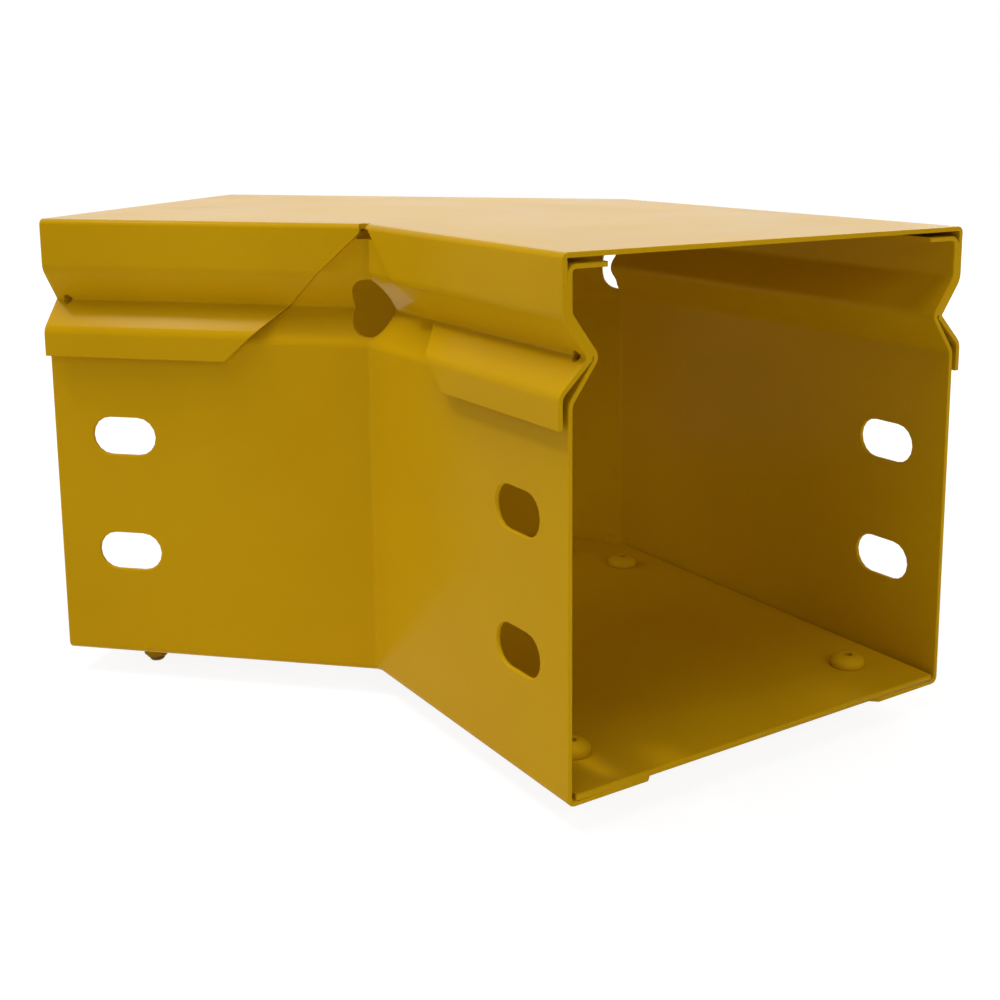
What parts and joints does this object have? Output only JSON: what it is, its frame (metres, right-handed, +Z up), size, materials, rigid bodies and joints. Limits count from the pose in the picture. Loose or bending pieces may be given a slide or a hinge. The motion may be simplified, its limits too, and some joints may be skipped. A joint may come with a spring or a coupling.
{
  "type": "cable raceway elbow",
  "caption": "Flat elbow of covered sheet steel raceway for fibre cables: grooved and slotted side walls, riveted floor plate, clip-on cover.",
  "frame": {"origin": "centre of the bounding box at the underside, where the rivet tails rest; the tray's underside is 6 mm above it", "axes": "+X from the left leg to the right leg, +Y towards the outside of the bend, +Z up through the cover"},
  "size_m": [0.2198, 0.1409, 0.108],
  "materials": {
    "yellow_powder_coat": "satin yellow powder coat on sheet steel",
    "coated_mandrel": "steel mandrel stub with thin coat overspray"
  },
  "bodies": {
    "root": {"cover": "yellow_powder_coat", "inner_side_wall": "yellow_powder_coat", "outer_side_wall": "yellow_powder_coat", "floor_plate": "yellow_powder_coat", "rivet_body_1": "yellow_powder_coat", "rivet_body_2": "yellow_powder_coat", "rivet_body_3": "yellow_powder_coat", "rivet_body_4": "yellow_powder_coat", "rivet_body_5": "yellow_powder_coat", "rivet_body_6": "yellow_powder_coat", "rivet_mandrel_1": "coated_mandrel", "rivet_mandrel_2": "coated_mandrel", "rivet_mandrel_3": "coated_mandrel", "rivet_mandrel_4": "coated_mandrel", "rivet_mandrel_5": "coated_mandrel", "rivet_mandrel_6": "coated_mandrel"}
  },
  "joints": []
}
